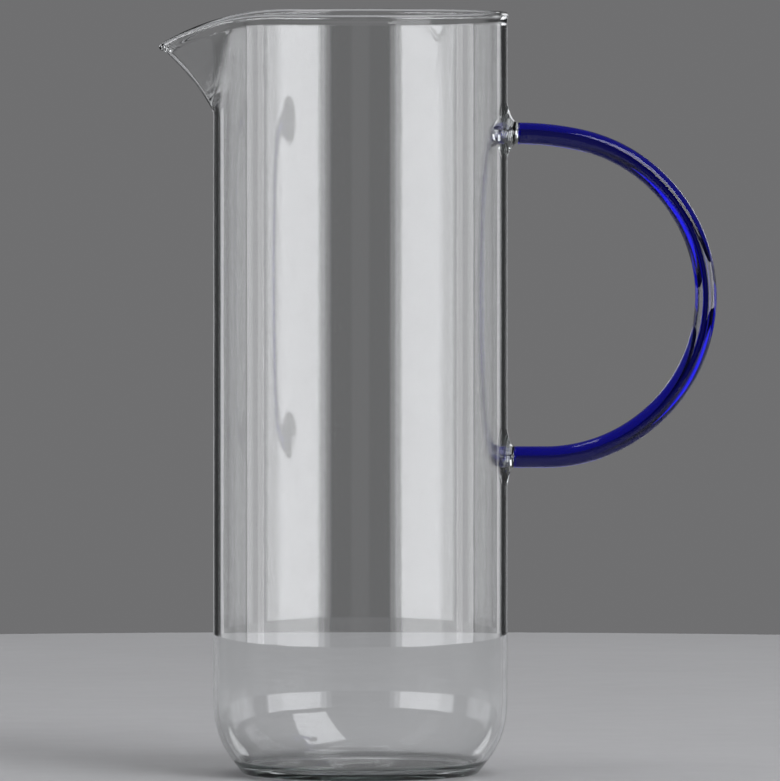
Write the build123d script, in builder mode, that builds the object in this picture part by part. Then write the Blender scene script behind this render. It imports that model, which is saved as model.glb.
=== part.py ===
from build123d import *

import os
from math import acos, cos, hypot, radians, sin, sqrt, tan

# Glass water jug, blown in one piece, with a pulled pouring lip and a coloured rod handle.
# Millimetres, Z up. The origin is the middle of the face that it stands on.
# The lip points to -X and the handle to +X. Both halves match across the XZ plane.

# Body
body_diameter = 96.0
jug_height = 248.0
wall = 1.7
base_thickness = 2.8

# Heel, a straight slope that runs from the foot ring into a large round
heel_draw_in = 9.7
heel_radius = 30.0
heel_slope = 38.0
floor_corner_radius = 6.0
foot_ring_width = 5.0
foot_edge_radius = 1.2
punt_depth = 1.0
punt_slope_width = 6.0

# Pouring lip, which grows out of the round wall and leans out more and more
lip_height = 33.3
lip_lean = 0.51
lip_flare = 0.0138
lip_start_softness = 1.5
lip_tip_radius = 5.0
lip_flank_radius = 70.0
lip_span = 24.0

# Rim, rounded in the flame, level at the back and dropping to the tip of the lip
rim_depth = 2.4
rim_bulge = 0.3
rim_edge_radius = 0.65
rim_foot_slope = 0.25
rim_drop_start = 26.5
rim_drop_radius = 76.0
rim_drop_turn = 45.0

# Handle, a solid rod bent round a former, with a flatter shoulder at its top
rod_diameter = 7.0
handle_below_rim = 39.5
handle_span = 105.4
shoulder_radius = 95.0
shoulder_turn = 12.0

# Clear glass dots that join the ends of the rod to the wall, each flaring from the rod to its seat
# in a few stages, the upper one with its seat lifted above the rod's axis
upper_dot_length = 3.3
upper_dot_radius = 8.6
upper_dot_lift = 1.2
lower_dot_length = 1.9
lower_dot_radius = 9.2
dot_sink = 1.2
dot_stages = 3

# The soft wall swells inward where a dot is pressed on
upper_swell_radius = 6.5
upper_swell_height = 3.4
lower_swell_radius = 7.0
lower_swell_height = 1.4

# How the lip is drawn: a first reach that is too small to see, and the steps between its outlines
lip_first_reach = 0.02
lip_first_step = 2.8
lip_step = 9.0
above_rim = 4.0

# Worked out from the sizes above
body_radius = body_diameter / 2
inner_radius = body_radius - wall
foot_radius = body_radius - heel_draw_in
punt_radius = foot_radius - foot_ring_width
rod_radius = rod_diameter / 2
lip_foot = jug_height - lip_height
handle_top = jug_height - handle_below_rim
handle_bottom = handle_top - handle_span
slope = radians(heel_slope)
heel_line_width = heel_draw_in - heel_radius * (1 - cos(slope))
heel_line_height = heel_line_width / tan(slope)
heel_height = heel_line_height + heel_radius * sin(slope)
upward = (Align.CENTER, Align.CENTER, Align.MIN)
forward_and_upward = (Align.MAX, Align.CENTER, Align.MIN)


def lip_reach(z):
    """How far the front of the wall stands out from the round body at height z."""
    rise = max(z - lip_foot, 0.0)
    lean = hypot(rise, lip_start_softness) - lip_start_softness
    return max(lip_lean * lean + lip_flare * rise**2, lip_first_reach)


def lip_outline(z, inset):
    """The front of the wall from above at height z, as a face inset from the wall's outer side.

    The round body and a small round tip are joined by long hollow flanks that touch both,
    the shape that soft glass takes when a lip is pulled out of it. Further back than the span
    of the lip the wall is plainly round, so there the face ends in a straight chord.
    """
    back_radius = body_radius - inset
    tip_radius = lip_tip_radius - inset
    flank_radius = lip_flank_radius + inset
    tip_distance = body_radius + lip_reach(z) - lip_tip_radius
    flank_distance = body_radius + lip_flank_radius
    between = lip_tip_radius + lip_flank_radius
    squares = flank_distance**2 + tip_distance**2 - between**2
    flank_angle = acos(squares / (2 * flank_distance * tip_distance))
    flank_centre = Vector(-flank_distance * cos(flank_angle), flank_distance * sin(flank_angle))
    tip_centre = Vector(-tip_distance, 0)
    side = flank_centre * (back_radius / flank_distance)
    touch = tip_centre + (flank_centre - tip_centre).normalized() * tip_radius
    middle = flank_centre + ((side + touch) * 0.5 - flank_centre).normalized() * flank_radius
    root = Vector(-lip_span, sqrt(back_radius**2 - lip_span**2))
    round_middle = (root + side).normalized() * back_radius
    with BuildLine(Plane.XY.offset(z)) as outline:
        Line((root.X, -root.Y), (root.X, root.Y))
        ThreePointArc((root.X, root.Y), (round_middle.X, round_middle.Y), (side.X, side.Y))
        ThreePointArc((side.X, side.Y), (middle.X, middle.Y), (touch.X, touch.Y))
        ThreePointArc((touch.X, touch.Y), (-tip_distance - tip_radius, 0), (touch.X, -touch.Y))
        ThreePointArc((touch.X, -touch.Y), (middle.X, -middle.Y), (side.X, -side.Y))
        ThreePointArc((side.X, -side.Y), (round_middle.X, -round_middle.Y), (root.X, -root.Y))
    return Face(Wire(outline.edges()))


def lip_outlines(inset):
    """Outlines from the foot of the lip to above the rim, for a loft."""
    first = lip_foot + lip_first_step
    rest = jug_height + above_rim - first
    steps = round(rest / lip_step)
    heights = [lip_foot] + [first + rest * i / steps for i in range(steps + 1)]
    return [lip_outline(z, inset) for z in heights]


def lip_room():
    """Everything in front of the round part of the wall, from the foot of the lip upward."""
    with BuildPart() as room:
        with Locations((-lip_span, 0, lip_foot)):
            Box(body_diameter, 2 * body_diameter, jug_height, align=forward_and_upward)
    return room.part


def mouth(inset):
    """The mouth as a solid, from the foot of the lip upward, inset from the wall's outer side."""
    with BuildPart() as shape:
        with Locations((0, 0, lip_foot)):
            Cylinder(body_radius - inset, lip_height + above_rim, align=upward)
        add(lip_room(), mode=Mode.SUBTRACT)
        loft(lip_outlines(inset))
    return shape.part


def above_rim_line(top):
    """Everything above a rim line whose level part is at height top, drawn from the side."""
    with BuildPart() as space:
        with BuildSketch(Plane.XZ):
            with BuildLine():
                level = Line((body_diameter, top), (-rim_drop_start, top))
                drop = JernArc(level @ 1, level % 1, rim_drop_radius, rim_drop_turn)
                Polyline(
                    drop @ 1,
                    (-body_diameter, (drop @ 1).Y),
                    (-body_diameter, 2 * jug_height),
                    (body_diameter, 2 * jug_height),
                    level @ 0,
                )
            make_face()
        extrude(amount=body_diameter, both=True)
    return space.part


def band_edges(band, level):
    """The curved edges of a level face of the rim's band and of the dropping face beside it."""
    drop = band.faces().filter_by(GeomType.CYLINDER).sort_by(SortBy.AREA)[0]
    return (level.edges() + drop.edges()).filter_by(GeomType.LINE, reverse=True)


def swell(z, radius, height):
    """A round swelling of the inside of the wall behind the handle, centred at height z."""
    ball_radius = (radius**2 + height**2) / (2 * height)
    with BuildPart() as bulge:
        with Locations((inner_radius - height + ball_radius, 0, z)):
            Sphere(ball_radius)
        with Locations((0, 0, z)):
            Cylinder(body_radius - wall / 2, jug_height, mode=Mode.INTERSECT)
    return bulge.part


def dot(z, length, radius, lift=0):
    """A clear glass dot, flared from the rod's end at height z to its seat on the wall."""
    with BuildPart() as gather:
        with BuildSketch(Plane.YZ.offset(body_radius - dot_sink)):
            with Locations((0, z + lift)):
                Circle(radius + dot_sink)
        for stage in range(dot_stages + 1):
            flare = (1 - stage / dot_stages) ** 2
            with BuildSketch(Plane.YZ.offset(body_radius + length * stage / dot_stages)):
                with Locations((0, z + lift * flare)):
                    Circle(rod_radius + (radius - rod_radius) * flare)
        loft(ruled=True)
        with Locations((0, 0, z)):
            Cylinder(body_radius, jug_height, mode=Mode.SUBTRACT)
    return gather.part


# The rim's bead, a band a little thicker than the wall: its top is rounded in the flame, and at its
# foot it slopes back to the wall
with BuildPart() as rim_bead:
    add(mouth(-rim_bulge))
    add(mouth(wall + rim_bulge), mode=Mode.SUBTRACT)
    add(above_rim_line(jug_height), mode=Mode.SUBTRACT)
    top_edges = band_edges(rim_bead, rim_bead.faces().filter_by(GeomType.PLANE).sort_by(Axis.Z)[-1])
    fillet(top_edges, rim_edge_radius)
    add(above_rim_line(jug_height - rim_depth), mode=Mode.INTERSECT)
    foot_edges = band_edges(rim_bead, rim_bead.faces().filter_by(GeomType.PLANE).sort_by(Axis.Z)[0])
    chamfer(foot_edges, rim_foot_slope)

# The inside of the glass, from the floor round its corner and up the wall to above the rim
with BuildPart() as inside:
    with BuildSketch(Plane.XZ):
        with BuildLine():
            inner_heel_radius = heel_radius - wall
            inner_heel_foot = (
                body_radius - heel_radius + inner_heel_radius * cos(slope),
                heel_height - inner_heel_radius * sin(slope),
            )
            corner_x = inner_heel_foot[0] - (inner_heel_foot[1] - base_thickness) * tan(slope)
            corner_turn = 90 - heel_slope
            floor_radius = corner_x - floor_corner_radius * tan(radians(corner_turn) / 2)
            Line((0, base_thickness), (floor_radius, base_thickness))
            corner = JernArc((floor_radius, base_thickness), (1, 0), floor_corner_radius, corner_turn)
            Line(corner @ 1, inner_heel_foot)
            JernArc(inner_heel_foot, (sin(slope), cos(slope)), inner_heel_radius, heel_slope)
            Polyline(
                (inner_radius, heel_height), (inner_radius, lip_foot), (0, lip_foot), (0, base_thickness)
            )
        make_face()
    revolve(axis=Axis.Z)
    add(mouth(wall))

# The glass body: punt, foot ring, heel, wall, lip and rim in one piece
with BuildPart() as jug_body:
    with BuildSketch(Plane.XZ):
        with BuildLine():
            heel_foot = (foot_radius + heel_line_width, heel_line_height)
            Polyline(
                (0, punt_depth),
                (punt_radius - punt_slope_width, punt_depth),
                (punt_radius, 0),
                (foot_radius, 0),
                heel_foot,
            )
            JernArc(heel_foot, (sin(slope), cos(slope)), heel_radius, heel_slope)
            Polyline((body_radius, heel_height), (body_radius, lip_foot), (0, lip_foot), (0, punt_depth))
        make_face()
    revolve(axis=Axis.Z)
    foot_circles = jug_body.edges().filter_by(GeomType.CIRCLE).group_by(Axis.Z)[0]
    fillet(foot_circles.sort_by(SortBy.RADIUS)[-1], foot_edge_radius)
    add(mouth(0))
    add(inside.part, mode=Mode.SUBTRACT)
    add(above_rim_line(jug_height - rim_depth / 2), mode=Mode.SUBTRACT)
    add(rim_bead.part)
    add(swell(handle_top, upper_swell_radius, upper_swell_height))
    add(swell(handle_bottom, lower_swell_radius, lower_swell_height))

upper_handle_weld = dot(handle_top, upper_dot_length, upper_dot_radius, upper_dot_lift)
lower_handle_weld = dot(handle_bottom, lower_dot_length, lower_dot_radius)

# The handle's rod, from the upper dot over the shoulder, round the bow and back to the lower dot
with BuildPart() as handle:
    with BuildLine(Plane.XZ):
        shoulder_start = (body_radius + upper_dot_length, handle_top)
        shoulder = JernArc(shoulder_start, (1, 0), shoulder_radius, -shoulder_turn)
        bow_drop = handle_span - shoulder_radius * (1 - cos(radians(shoulder_turn)))
        bow_radius = bow_drop / (1 + cos(radians(shoulder_turn)))
        bow = JernArc(shoulder @ 1, shoulder % 1, bow_radius, shoulder_turn - 180)
        Line(bow @ 1, (body_radius + lower_dot_length, handle_bottom))
    with BuildSketch(Plane(shoulder @ 0, z_dir=shoulder % 0)):
        Circle(rod_radius)
    sweep()

jug_body.part.label = "jug_body"
upper_handle_weld.label = "upper_handle_weld"
lower_handle_weld.label = "lower_handle_weld"
handle.part.label = "handle"

os.makedirs("parts", exist_ok=True)
export_step(jug_body.part, "parts/jug_body.step")
export_step(upper_handle_weld, "parts/upper_handle_weld.step")
export_step(lower_handle_weld, "parts/lower_handle_weld.step")
export_step(handle.part, "parts/handle.step")
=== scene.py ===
from math import acos, atan2, cos, exp, hypot, log, pi, radians, sin, sqrt, tan

import bmesh
import bpy
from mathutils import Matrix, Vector


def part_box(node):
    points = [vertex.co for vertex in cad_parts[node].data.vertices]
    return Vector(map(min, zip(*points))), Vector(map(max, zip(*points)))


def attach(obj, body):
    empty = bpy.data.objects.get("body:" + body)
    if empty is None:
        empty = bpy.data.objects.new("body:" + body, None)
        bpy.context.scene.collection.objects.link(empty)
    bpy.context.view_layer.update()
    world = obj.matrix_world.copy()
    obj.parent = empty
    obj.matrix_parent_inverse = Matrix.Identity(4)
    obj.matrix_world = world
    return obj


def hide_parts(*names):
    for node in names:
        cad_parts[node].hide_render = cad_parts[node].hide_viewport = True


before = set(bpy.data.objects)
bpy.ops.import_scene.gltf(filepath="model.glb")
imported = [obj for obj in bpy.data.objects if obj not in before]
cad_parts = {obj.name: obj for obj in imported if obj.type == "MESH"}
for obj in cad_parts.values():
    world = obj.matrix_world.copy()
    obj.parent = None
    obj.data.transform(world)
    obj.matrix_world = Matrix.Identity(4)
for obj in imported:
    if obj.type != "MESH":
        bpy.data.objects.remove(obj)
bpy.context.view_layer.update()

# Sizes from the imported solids
body_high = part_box("jug_body")[1]
upper_dot_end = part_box("upper_handle_weld")[1].x
lower_dot_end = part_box("lower_handle_weld")[1].x
rod_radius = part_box("handle")[1].y

# Glass body
rim_bulge = 0.0003
wall = 0.0017
jug_height = body_high.z
body_radius = body_high.y - rim_bulge
base_thickness = 0.0028
heel_draw_in = 0.0097
heel_radius = 0.030
heel_slope = radians(38)
floor_corner_radius = 0.006
heel_softness = 0.0042
foot_ring_width = 0.005
foot_edge_radius = 0.0012
punt_depth = 0.0010
punt_slope_width = 0.006
punt_corner_radius = 0.004

# Pouring lip
lip_height = 0.0333
lip_lean = 0.51
lip_flare = 13.8
lip_start_softness = 0.0015
lip_tip_radius = 0.005
lip_flank_radius = 0.070

# Rim
rim_crown = 0.0012
rim_depth = 0.0034
tip_bead_growth = 0.0004
tip_bead_share = 0.08
tip_bead_lift = 0.42
rim_drop_start = 0.0265
rim_drop_radius = 0.076

# Dots that join the handle to the wall
handle_below_rim = 0.0395
handle_span = 0.1054
upper_dot_z = jug_height - handle_below_rim
upper_dot_radius = 0.0086
upper_dot_lift = 0.0012
lower_dot_z = upper_dot_z - handle_span
lower_dot_radius = 0.0092
dot_softness = 0.03
dot_hollow = 1.2

# The plug at a dot's end, inside the rod's end, in pairs: a share of the rod's width and of the overlap
dot_overlap = 0.0006
dot_plug = ((0.985, 0.1), (0.95, 0.5), (0.93, 0.9), (0.86, 1.0), (0.5, 1.0))

# Swellings of the wall's inner side behind the dots
upper_swell_height = 0.0034
upper_swell_radius = 0.0072
lower_swell_height = 0.0014
lower_swell_radius = 0.0080
swell_roundness = 1.3

# Handle: a rod bent to a flat shoulder and a round bow
shoulder_radius = 0.095
shoulder_turn = radians(12)
rod_edge = 0.00005

# How finely the glass is drawn: closely at the lip, the bends and the dots, and coarsely elsewhere
fine_step = 0.0010
wall_step = 0.0030
tip_width = 0.008
tip_step = 0.00045
lip_width = 0.045
lip_step = 0.0012
side_step = 0.0022
back_step = 0.00108
dot_room = 0.0130
mouth_foot = upper_dot_z - dot_room
mouth_row_count = 45
bead_side_rows = 6
bead_crown_rows = 8
dot_seat_rings = 6
dot_flare_rings = 14
rod_sides = 64
rod_end_rim = 0.9
cap_radius = 0.002
profile_overrun = 0.0001
rim_search_rounds = 60
row_tolerance = 1e-6

# Glass: faint waves from its making, and a film of handling that dulls its gloss in places
wave_height = 0.00004
haze_scale = (38, 38, 26)
haze_detail = 5.0
haze_roughness = 0.02

# Studio light
light_colour = (0.97, 0.975, 1.0)
panel_distance = 3.0
panel_low = -0.15
panel_high = 0.65
back_panel_low = 0.3
back_panel_high = 1.1

# Places of the colour sockets on the node that mixes two values
mix_share, mix_one, mix_other, mix_result = 0, 6, 7, 2

# Worked out from the sizes above
wall_middle = wall / 2
foot_radius = body_radius - heel_draw_in
punt_radius = foot_radius - foot_ring_width
half_length = pi * body_radius
heel_line_width = heel_draw_in - heel_radius * (1 - cos(heel_slope))
heel_line_height = heel_line_width / tan(heel_slope)
heel_height = heel_line_height + heel_radius * sin(heel_slope)


def lip_reach(z):
    """How far the front of the wall stands out from the round body at height z."""
    rise = max(z - (jug_height - lip_height), 0.0)
    lean = hypot(rise, lip_start_softness) - lip_start_softness
    return lip_lean * lean + lip_flare * rise**2


def wall_point(share, z, inset):
    """A point of the wall at height z, on its half with y >= 0, inset from the wall's outer side.

    share runs from 0 at the front of the lip to 1 behind, along the half outline's length.
    The outline has a round back and a small round tip, joined by hollow flanks that touch both.
    """
    tip_distance = body_radius + lip_reach(z) - lip_tip_radius
    flank_distance = body_radius + lip_flank_radius
    between = lip_tip_radius + lip_flank_radius
    squares = flank_distance**2 + tip_distance**2 - between**2
    flank_angle = acos(min(squares / (2 * flank_distance * tip_distance), 1.0))
    flank_x = -flank_distance * cos(flank_angle)
    flank_y = flank_distance * sin(flank_angle)
    tip_angle = atan2(flank_y, -(flank_x + tip_distance))
    tip_length = lip_tip_radius * tip_angle
    flank_length = lip_flank_radius * (tip_angle - flank_angle)
    back_length = body_radius * (pi - flank_angle)
    along = share * (tip_length + flank_length + back_length)
    if along < tip_length:
        angle = along / lip_tip_radius
        reach = lip_tip_radius - inset
        return -tip_distance - reach * cos(angle), reach * sin(angle)
    along -= tip_length
    if along < flank_length:
        angle = tip_angle - along / lip_flank_radius
        reach = lip_flank_radius + inset
        return flank_x + reach * cos(angle), flank_y - reach * sin(angle)
    angle = flank_angle + (along - flank_length) / body_radius
    reach = body_radius - inset
    return -reach * cos(angle), reach * sin(angle)


def rim_height(x):
    """The height of the rim's top at x: level behind, then dropping along a large arc to the lip's tip."""
    run = max(-x - rim_drop_start, 0.0)
    return jug_height - rim_drop_radius + sqrt(rim_drop_radius**2 - run**2)


def rim_top(share):
    """The height of the rim's top in one column, found where the wall's middle meets the rim line."""
    z = jug_height
    for _ in range(rim_search_rounds):
        z = rim_height(wall_point(share, z, wall_middle)[0])
    return z


def steps(start, end, count):
    """Evenly spaced values after start, up to end."""
    return [start + (end - start) * (i + 1) / count for i in range(count)]


def rounded(corners):
    """Points along a line through (radius, height, corner radius) corners, with the corners rounded."""
    points = [Vector(corners[0][:2])]
    for before, corner, after in zip(corners, corners[1:], corners[2:]):
        here = Vector(corner[:2])
        back = (Vector(before[:2]) - here).normalized()
        ahead = (Vector(after[:2]) - here).normalized()
        turn = pi - back.angle(ahead)
        reach = corner[2] * tan(turn / 2)
        middle = here + (back + ahead).normalized() * (corner[2] / cos(turn / 2))
        start = here + back * reach - middle
        end = here + ahead * reach - middle
        count = max(round(corner[2] * turn / fine_step), 4)
        points += [middle + start.slerp(end, i / count) * corner[2] for i in range(count + 1)]
    points.append(Vector(corners[-1][:2]))
    filled = [points[0]]
    for point in points[1:]:
        gap = (point - filled[-1]).length
        if gap > fine_step / 10:
            last = filled[-1]
            count = max(round(gap / (2 * fine_step)), 1)
            filled += [last.lerp(point, share) for share in steps(0, 1, count)]
    return filled


def softened(points, wall_radius, bend_radius):
    """The same profile, but with the heel's bend starting gradually out of the wall.

    The bend starts higher by heel_softness, and joins its round at twice that below its old start.
    """
    run = 3 * heel_softness
    cut = sqrt(bend_radius**2 - (2 * heel_softness) ** 2)
    drop = bend_radius - cut
    power = 2 * heel_softness / cut * run / drop
    soft = []
    for r, z in points:
        into = heel_height + heel_softness - z
        if 0 < into < run:
            r = wall_radius - drop * (into / run) ** power
        soft.append((r, z))
    return soft


def row_heights(low, high):
    """Heights of the straight wall's rows after low, up to high, closer together at the lower dot."""
    heights = []
    marks = (low, low + 2 * heel_softness, lower_dot_z - dot_room, lower_dot_z + dot_room, high)
    for start, end, spacing in zip(marks, marks[1:], (fine_step, wall_step, fine_step, wall_step)):
        heights += steps(start, end, round((end - start) / spacing))
    return heights


def round_rows(points):
    """Rows round the part of the glass that is a body of revolution."""
    return [lambda share, r=r, z=z: (z, body_radius - r) for r, z in points]


def lean_at_rim(share):
    """The angle at which the wall leans outward under the rim in one column."""
    z = rim_tops[share]
    here = Vector(wall_point(share, z, 0))
    below = Vector(wall_point(share, z - fine_step, 0))
    inside = Vector(wall_point(share, z, fine_step))
    return atan2((here - below).dot(here - inside) / fine_step, fine_step)


def bead_point(share, depth, ease, across):
    """Height and inset of a point of the rim's bead in one column.

    depth runs down along the leaning wall. ease is 0 at the bead's foot, where it is as thick as the
    wall, and 1 above. across runs from -1 outside to 1 inside. The bead is thickest at the lip's tip.
    """
    lean = rim_leans[share]
    near_tip = max(1 - share / tip_bead_share, 0) ** 2
    middle = wall_middle * cos(lean)
    bulge = rim_bulge + near_tip * tip_bead_growth
    through = middle + across * (middle + ease * bulge)
    crown = rim_crown * cos(lean)
    rise = middle * sin(lean) + hypot(crown, (middle + bulge) * sin(lean)) - crown
    z = rim_tops[share] - (1 - tip_bead_lift * near_tip) * rise - depth * cos(lean) + through * sin(lean)
    return z, through / cos(lean)


def mouth_rows(side, heights):
    """Rows between where the wall is still round and the foot of the rim's bead, by share of the height.

    side is -1 for the outside and 1 for the inside.
    """
    return [
        lambda share, t=t: (
            mouth_foot + t * (bead_point(share, rim_depth, 0, side)[0] - mouth_foot),
            wall_middle * (1 + side),
        )
        for t in heights
    ]


def bead_rows():
    """Rows over the rim's bead, from its outer foot over the rounded crown to its inner foot."""
    side = []
    for depth in steps(rim_depth, rim_crown, bead_side_rows)[:-1]:
        rise = 1 - (depth - rim_crown) / (rim_depth - rim_crown)
        side.append((depth, rise * rise * (3 - 2 * rise), 1.0))
    for angle in [radians(90 * (1 - i / bead_crown_rows)) for i in range(bead_crown_rows)]:
        side.append((rim_crown * (1 - cos(angle)), 1.0, sin(angle)))
    outer = [(depth, ease, -across) for depth, ease, across in side]
    places = outer + [(0.0, 1.0, 0.0)] + side[::-1]
    return [
        lambda share, depth=depth, ease=ease, across=across: bead_point(share, depth, ease, across)
        for depth, ease, across in places
    ]


def swell_at(y, z):
    """How far the wall swells inward behind the handle's dots."""
    total = 0.0
    for centre, height, radius in inner_swells:
        near = min(hypot(y, z - centre) / radius, 1.0)
        total += height * (1 - near**2) ** swell_roundness
    return total


def ring(row, swollen):
    """One row of the body's points, once round."""
    points = []
    for share, side in columns:
        z, inset = row(share)
        x, y = wall_point(share, z, inset)
        if swollen and x > 0:
            x, y = wall_point(share, z, inset + swell_at(y, z))
        points.append((x, side * y, z))
    return points


def add_dot(mesh, edge, z, seat, lift, length):
    """Grow a dot out of the hole in the wall whose edge is given, up to the rod's end at height z.

    The first rings run in from the hole's square edge to the dot's round seat, and the rest flare up to
    the rod. The seat's centre is lifted above the rod's axis.
    """
    rings = [edge]
    around = [(v.co.y, v.co.z - z) for v in edge]
    angles = [atan2(up - lift, side) for side, up in around]
    places = []
    for share in steps(0, 1, dot_seat_rings):
        places.append([
            (
                side + (seat * cos(a) - side) * share,
                up + (lift + seat * sin(a) - up) * share,
            )
            for (side, up), a in zip(around, angles)
        ])
    for q in steps(1, 0, dot_flare_rings):
        reach = rod_radius + (seat - rod_radius) * q**2
        places.append([(reach * cos(a), lift * q**2 + reach * sin(a)) for a in angles])
    for i, place in enumerate(places):
        points = []
        for side, up in place:
            if i < dot_seat_rings:
                q = sqrt(max(hypot(side, up - lift) - rod_radius, 0) / (seat - rod_radius))
            else:
                q = 1 - (i + 1 - dot_seat_rings) / dot_flare_rings
            height = length * (dot_softness * log(1 + exp((1 - q) / dot_softness))) ** dot_hollow
            curved = sqrt(body_radius**2 - side**2)
            x = body_radius + (curved - body_radius) * min(q, 1.0) + height
            points.append(mesh.verts.new((x, side, z + up)))
        rings.append(points)
    end = body_radius + length
    for width, out in dot_plug:
        rings.append([
            mesh.verts.new(
                (end + out * dot_overlap, width * rod_radius * cos(a), z + width * rod_radius * sin(a))
            )
            for a in angles
        ])
    for outer, inner in zip(rings, rings[1:]):
        bridge(mesh, outer, inner)
    cap(mesh, rings[-1], (end + dot_overlap, 0, z))


def rod_line():
    """Points of the rod's axis as (x, z, angle), where angle is how far it has turned down from +X."""
    shoulder_x = upper_dot_end + shoulder_radius * sin(shoulder_turn)
    shoulder_z = upper_dot_z - shoulder_radius * (1 - cos(shoulder_turn))
    bow_radius = (shoulder_z - lower_dot_z) / (1 + cos(shoulder_turn))
    line = []
    for angle in [0, *steps(0, shoulder_turn, round(shoulder_radius * shoulder_turn / fine_step))]:
        x = upper_dot_end + shoulder_radius * sin(angle)
        line.append((x, upper_dot_z - shoulder_radius * (1 - cos(angle)), angle))
    for angle in steps(shoulder_turn, pi, round(bow_radius * (pi - shoulder_turn) / fine_step)):
        x = shoulder_x + bow_radius * (sin(angle) - sin(shoulder_turn))
        line.append((x, shoulder_z + bow_radius * (cos(angle) - cos(shoulder_turn)), angle))
    bow_end = line[-1][0]
    straight = steps(bow_end, lower_dot_end, round((bow_end - lower_dot_end) / fine_step))
    return line + [(x, lower_dot_z, pi) for x in straight]


def add_rod(mesh, line):
    """A round rod along the line, with its ends closed flat and their edges just broken."""
    first, last = line[0], line[-1]
    end_width = 1 - rod_edge / rod_radius
    stations = [(first, 0.0, rod_end_rim), (first, 0.0, end_width), (first, rod_edge, 1.0)]
    stations += [(point, 0.0, 1.0) for point in line[1:-1]]
    stations += [(last, -rod_edge, 1.0), (last, 0.0, end_width), (last, 0.0, rod_end_rim)]
    rings = []
    for (x, z, angle), along, width in stations:
        middle = Vector((x + along * cos(angle), 0, z - along * sin(angle)))
        up = Vector((sin(angle), 0, cos(angle)))
        side = Vector((0, 1, 0))
        turns = [2 * pi * i / rod_sides for i in range(rod_sides)]
        rings.append([
            mesh.verts.new(middle + rod_radius * width * (side * cos(turn) + up * sin(turn)))
            for turn in turns
        ])
    for one, other in zip(rings, rings[1:]):
        bridge(mesh, one, other)
    cap(mesh, rings[0], (first[0], 0, first[1]))
    cap(mesh, rings[-1], (last[0], 0, last[1]))


def bridge(mesh, one, other):
    """Faces between two closed rings of the same number of points."""
    count = len(one)
    for i in range(count):
        j = (i + 1) % count
        mesh.faces.new((one[i], one[j], other[j], other[i]))


def cap(mesh, edge, middle):
    """Close a ring with a fan round its middle."""
    point = mesh.verts.new(middle)
    for i in range(len(edge)):
        mesh.faces.new((edge[i], edge[(i + 1) % len(edge)], point))


def finished(name, mesh, material):
    """A smooth object made of a mesh in progress, with one material."""
    bmesh.ops.recalc_face_normals(mesh, faces=mesh.faces)
    for face in mesh.faces:
        face.smooth = True
    data = bpy.data.meshes.new(name)
    mesh.to_mesh(data)
    mesh.free()
    data.materials.append(material)
    piece = bpy.data.objects.new(name, data)
    bpy.context.scene.collection.objects.link(piece)
    return piece


def node(tree, kind, **values):
    """A shader node with values for its inputs, by name."""
    made = tree.nodes.new(kind)
    for name, value in values.items():
        made.inputs[name.replace("_", " ")].default_value = value
    return made


def scaled_coordinates(tree, scale):
    """Coordinates fixed to the object, scaled along each axis."""
    coordinates = tree.nodes.new("ShaderNodeTexCoord")
    mapping = node(tree, "ShaderNodeMapping", Scale=scale)
    tree.links.new(coordinates.outputs["Object"], mapping.inputs["Vector"])
    return mapping.outputs["Vector"]


def noise(tree, scale, detail=3.0):
    """A noise whose waves are 1 / scale long, in metres, along each axis."""
    made = node(tree, "ShaderNodeTexNoise", Scale=1.0, Detail=detail)
    tree.links.new(scaled_coordinates(tree, scale), made.inputs["Vector"])
    return made.outputs["Fac"]


def spread(tree, value, low, high, start=0.3, end=0.7, smooth=False):
    """A value between start and end brought to the range from low to high."""
    made = tree.nodes.new("ShaderNodeMapRange")
    made.interpolation_type = "SMOOTHSTEP" if smooth else "LINEAR"
    made.inputs["From Min"].default_value = start
    made.inputs["From Max"].default_value = end
    made.inputs["To Min"].default_value = low
    made.inputs["To Max"].default_value = high
    tree.links.new(value, made.inputs["Value"])
    return made.outputs["Result"]


def calculate(tree, operation, *values):
    """The result of one calculation with sockets and plain numbers."""
    made = tree.nodes.new("ShaderNodeMath")
    made.operation = operation
    for socket, value in zip(made.inputs, values):
        if isinstance(value, bpy.types.NodeSocket):
            tree.links.new(value, socket)
        else:
            socket.default_value = value
    return made.outputs[0]


def mixed(tree, share, one, other):
    """A mix of two colours, where share 0 is the first and 1 the second."""
    made = tree.nodes.new("ShaderNodeMix")
    made.data_type = "RGBA"
    tree.links.new(share, made.inputs[mix_share])
    for socket, value in zip((made.inputs[mix_one], made.inputs[mix_other]), (one, other)):
        if isinstance(value, bpy.types.NodeSocket):
            tree.links.new(value, socket)
        else:
            socket.default_value = value
    return made.outputs[mix_result]


def glass(name, ior, tint, density, wave_scale):
    """Glass with a body colour, faint waves from its making and a film of handling on its gloss."""
    material = bpy.data.materials.new(name)
    material.use_nodes = True
    tree = material.node_tree
    shader = tree.nodes["Principled BSDF"]
    shader.inputs["Base Color"].default_value = (1, 1, 1, 1)
    shader.inputs["Transmission Weight"].default_value = 1
    shader.inputs["IOR"].default_value = ior
    film = noise(tree, haze_scale, haze_detail)
    haze = spread(tree, film, 0.0, haze_roughness, start=0.5, end=0.75)
    tree.links.new(haze, shader.inputs["Roughness"])
    bump = node(tree, "ShaderNodeBump", Strength=1.0, Distance=wave_height)
    tree.links.new(noise(tree, wave_scale), bump.inputs["Height"])
    tree.links.new(bump.outputs["Normal"], shader.inputs["Normal"])
    volume = node(tree, "ShaderNodeVolumeAbsorption", Color=tint, Density=density)
    tree.links.new(volume.outputs["Volume"], tree.nodes["Material Output"].inputs["Volume"])
    return material


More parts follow.
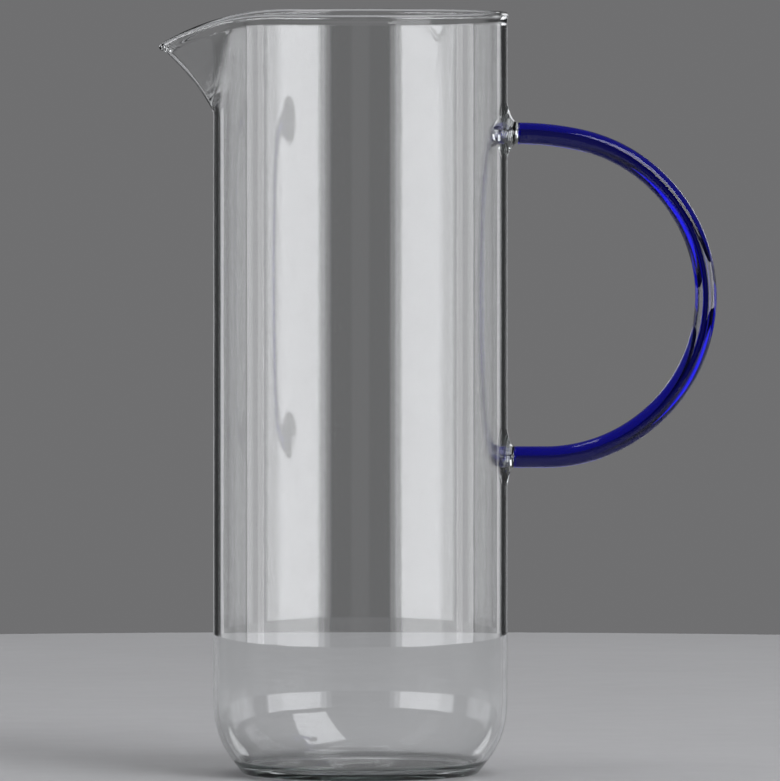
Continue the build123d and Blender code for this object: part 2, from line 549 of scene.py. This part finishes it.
def lamp(name, place, target, width, height, radiance):
    """A soft rectangular light that the camera doesn't see, turned to a target."""
    data = bpy.data.lights.new(name, "AREA")
    data.shape = "RECTANGLE"
    data.size = width
    data.size_y = height
    data.energy = radiance * pi * width * height
    data.color = light_colour
    light = bpy.data.objects.new(name, data)
    bpy.context.scene.collection.objects.link(light)
    light.location = place
    light.rotation_euler = (Vector(target) - Vector(place)).to_track_quat("-Z", "Y").to_euler()
    light.visible_camera = False
    return light


def panels_round(start, end, radiance, low=panel_low, high=panel_high):
    """A pair of upright panels, between two angles from the camera's side, to the left and the right."""
    middle = (low + high) / 2
    width = 2 * panel_distance * tan(radians(end - start) / 2)
    pair = []
    for side in (-1, 1):
        angle = radians(side * (start + end) / 2 - 90)
        place = (panel_distance * cos(angle), panel_distance * sin(angle), middle)
        name = f"panel_{'left' if side < 0 else 'right'}_{start}"
        pair.append(lamp(name, place, (0, 0, middle), width, high - low, radiance))
    return pair


clear_glass = glass("jug_clear_glass", 1.47, (0.36, 0.43, 0.42, 1), 36.0, (30, 30, 4))
cobalt_glass = glass("rod_cobalt_glass", 1.50, (0.10, 0.05, 0.86, 1), 1050.0, (60, 60, 60))

# The body's columns, as a share of the half outline and a side, closest together at the lip's tip
column_steps = (
    (tip_width, tip_step),
    (lip_width, lip_step),
    (half_length - dot_room, side_step),
    (half_length, back_step),
)
lengths = [0.0]
for end, spacing in column_steps:
    lengths += steps(lengths[-1], end, round((end - lengths[-1]) / spacing))
shares = [length / half_length for length in lengths]
columns = [(share, 1) for share in shares] + [(share, -1) for share in shares[-2:0:-1]]
rim_tops = {share: rim_top(share) for share in shares}
rim_leans = {share: lean_at_rim(share) for share in shares}
inner_swells = (
    (upper_dot_z, upper_swell_height, upper_swell_radius),
    (lower_dot_z, lower_swell_height, lower_swell_radius),
)

# The body's rows, up its outer side, over the rim and down its inner side
outer_profile = rounded((
    (cap_radius, punt_depth, 0),
    (punt_radius - punt_slope_width, punt_depth, punt_corner_radius),
    (punt_radius, 0, punt_corner_radius),
    (foot_radius, 0, foot_edge_radius),
    (body_radius, heel_draw_in / tan(heel_slope), heel_radius),
    (body_radius, heel_height + profile_overrun, 0),
))
inner_radius = body_radius - wall
inner_heel_foot = Vector((
    body_radius - heel_radius + (heel_radius - wall) * cos(heel_slope),
    heel_height - (heel_radius - wall) * sin(heel_slope),
))
corner_x = inner_heel_foot.x - (inner_heel_foot.y - base_thickness) * tan(heel_slope)
inner_profile = rounded((
    (cap_radius, base_thickness, 0),
    (corner_x, base_thickness, floor_corner_radius),
    (inner_radius, base_thickness + (inner_radius - corner_x) / tan(heel_slope), heel_radius - wall),
    (inner_radius, heel_height + profile_overrun, 0),
))
wall_heights = row_heights(heel_height, mouth_foot)
mouth_steps = steps(0, 1, mouth_row_count)
outer_line = [tuple(point) for point in outer_profile] + [(body_radius, z) for z in wall_heights]
inner_line = [tuple(point) for point in inner_profile] + [(inner_radius, z) for z in wall_heights]
outside_rows = round_rows(softened(outer_line, body_radius, heel_radius))
outside_rows += mouth_rows(-1, mouth_steps)
inside_rows = mouth_rows(1, mouth_steps[::-1])
inside_rows += round_rows(softened(inner_line, inner_radius, heel_radius - wall)[::-1])

body_mesh = bmesh.new()
rings = []
for row in outside_rows + bead_rows():
    rings.append([body_mesh.verts.new(point) for point in ring(row, False)])
for row in inside_rows:
    rings.append([body_mesh.verts.new(point) for point in ring(row, True)])

# The wall's faces, with a square hole behind each dot
back = len(shares) - 1
hole_reach = sum(1 for length in lengths if length > half_length - dot_room - row_tolerance) - 1
first, last = back - hole_reach, back + hole_reach
holes = []
for centre in (lower_dot_z, upper_dot_z):
    near = dot_room + row_tolerance
    rows = [i for i in range(len(outside_rows)) if abs(rings[i][back].co.z - centre) < near]
    holes.append((min(rows), max(rows)))
for i, (one, other) in enumerate(zip(rings, rings[1:])):
    for j in range(len(columns)):
        open_here = any(low <= i < high for low, high in holes) and first <= j < last
        if not open_here:
            k = (j + 1) % len(columns)
            body_mesh.faces.new((one[j], one[k], other[k], other[j]))
cap(body_mesh, rings[0], (0, 0, punt_depth))
cap(body_mesh, rings[-1], (0, 0, base_thickness))
dots = (
    (lower_dot_z, lower_dot_radius, 0.0, lower_dot_end - body_radius),
    (upper_dot_z, upper_dot_radius, upper_dot_lift, upper_dot_end - body_radius),
)
for (low, high), (z, seat, lift, length) in zip(holes, dots):
    edge = [rings[low][j] for j in range(first, last)]
    edge += [rings[i][last] for i in range(low, high)]
    edge += [rings[high][j] for j in range(last, first, -1)]
    edge += [rings[i][first] for i in range(high, low, -1)]
    inside_hole = [rings[i][j] for i in range(low + 1, high) for j in range(first + 1, last)]
    add_dot(body_mesh, edge, z, seat, lift, length)
    for point in inside_hole:
        body_mesh.verts.remove(point)

jug_glass = finished("jug_glass", body_mesh, clear_glass)
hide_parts("jug_body", "upper_handle_weld", "lower_handle_weld")
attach(jug_glass, "root")

rod_mesh = bmesh.new()
add_rod(rod_mesh, rod_line())
handle_rod = finished("handle_rod", rod_mesh, cobalt_glass)
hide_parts("handle")
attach(handle_rod, "root")

# Floor
floor_radius = 0.75
floor_gap = 0.0002
floor_material = bpy.data.materials.new("pale_floor")
floor_material.use_nodes = True
floor_tree = floor_material.node_tree
floor_shader = floor_tree.nodes["Principled BSDF"]
floor_shader.inputs["Specular IOR Level"].default_value = 0.2
floor_colour = floor_tree.nodes.new("ShaderNodeValToRGB")
floor_colour.color_ramp.elements[0].color = (0.46, 0.46, 0.465, 1)
floor_colour.color_ramp.elements[1].color = (0.50, 0.50, 0.505, 1)
floor_tree.links.new(noise(floor_tree, (9, 9, 9)), floor_colour.inputs["Fac"])
floor_tree.links.new(floor_colour.outputs["Color"], floor_shader.inputs["Base Color"])
floor_tree.links.new(
    spread(floor_tree, noise(floor_tree, (60, 60, 60)), 0.55, 0.7), floor_shader.inputs["Roughness"]
)
floor_mesh = bmesh.new()
bmesh.ops.create_circle(floor_mesh, cap_ends=True, segments=180, radius=floor_radius)
bmesh.ops.translate(floor_mesh, verts=floor_mesh.verts, vec=(0, 0, -floor_gap))
floor = finished("floor", floor_mesh, floor_material)

# The world: a grey ceiling, and below it grey screens all round at equal angles with dark gaps between them
screen_count = 8
screen_colour = (0.16, 0.16, 0.163, 1)
gap_colour = (0.03, 0.03, 0.031, 1)
ceiling_colour = (0.12, 0.12, 0.122, 1)
world = bpy.data.worlds.new("studio")
bpy.context.scene.world = world
world.use_nodes = True
sky = world.node_tree
direction = sky.nodes.new("ShaderNodeTexCoord")
axes = sky.nodes.new("ShaderNodeSeparateXYZ")
sky.links.new(direction.outputs["Generated"], axes.inputs["Vector"])
azimuth = calculate(sky, "ARCTAN2", axes.outputs["Y"], axes.outputs["X"])
screen_wave = calculate(sky, "COSINE", calculate(sky, "MULTIPLY", azimuth, screen_count))
screen_share = spread(sky, screen_wave, 0, 1, start=0.3, end=0.85, smooth=True)
ceiling_share = spread(sky, axes.outputs["Z"], 0, 1, start=0.2, end=0.5, smooth=True)
walls = mixed(sky, screen_share, gap_colour, screen_colour)
studio = mixed(sky, ceiling_share, walls, ceiling_colour)
sky.links.new(studio, sky.nodes["Background"].inputs["Color"])

# Panels that give the glass its bright upright bands, by angle and radiance
panels_round(24, 28, 0.8)
panels_round(28, 33, 2.0)
panels_round(33, 68, 4.2)
panels_round(68, 81.5, 3.0)
panels_round(101, 115, 1.1)
panels_round(115, 141, 0.65)
panels_round(166, 170, 0.6)
panels_round(150, 165, 2.0, low=back_panel_low, high=back_panel_high)

# Panels beside the jug that show only in its gloss, and a strip at their edge that shows only through it
for side_panel in panels_round(81, 87, 6.9) + panels_round(87, 99, 5.0):
    side_panel.visible_transmission = False
for seam_panel in panels_round(81.5, 83.5, 3.0):
    seam_panel.visible_glossy = False

# A lamp above that lights the floor and isn't mirrored, and the key lamp in front on the right
overhead = lamp("overhead", (0.0, 0.0, 1.9), (0, 0, 0), 1.2, 1.2, 3.2)
overhead.visible_glossy = False
lamp("key", (1.5, -1.5, 1.75), (0.1, 0, 0.15), 1.5, 2.2, 4.0)

# Camera at the photograph's viewing angle
camera_place = Vector((0.00966, -5.0, 0.354))
camera_target = Vector((0.00966, 0, 0.12475))
camera_data = bpy.data.cameras.new("camera")
camera_data.lens = 709
camera_data.sensor_width = 36
camera_data.clip_end = 100
camera = bpy.data.objects.new("camera", camera_data)
bpy.context.scene.collection.objects.link(camera)
camera.location = camera_place
camera.rotation_euler = (camera_target - camera_place).to_track_quat("-Z", "Y").to_euler()
bpy.context.scene.camera = camera

bpy.context.scene.view_settings.view_transform = "Standard"
bpy.context.scene.cycles.max_bounces = 24
bpy.context.scene.cycles.transmission_bounces = 24
bpy.context.scene.cycles.glossy_bounces = 12
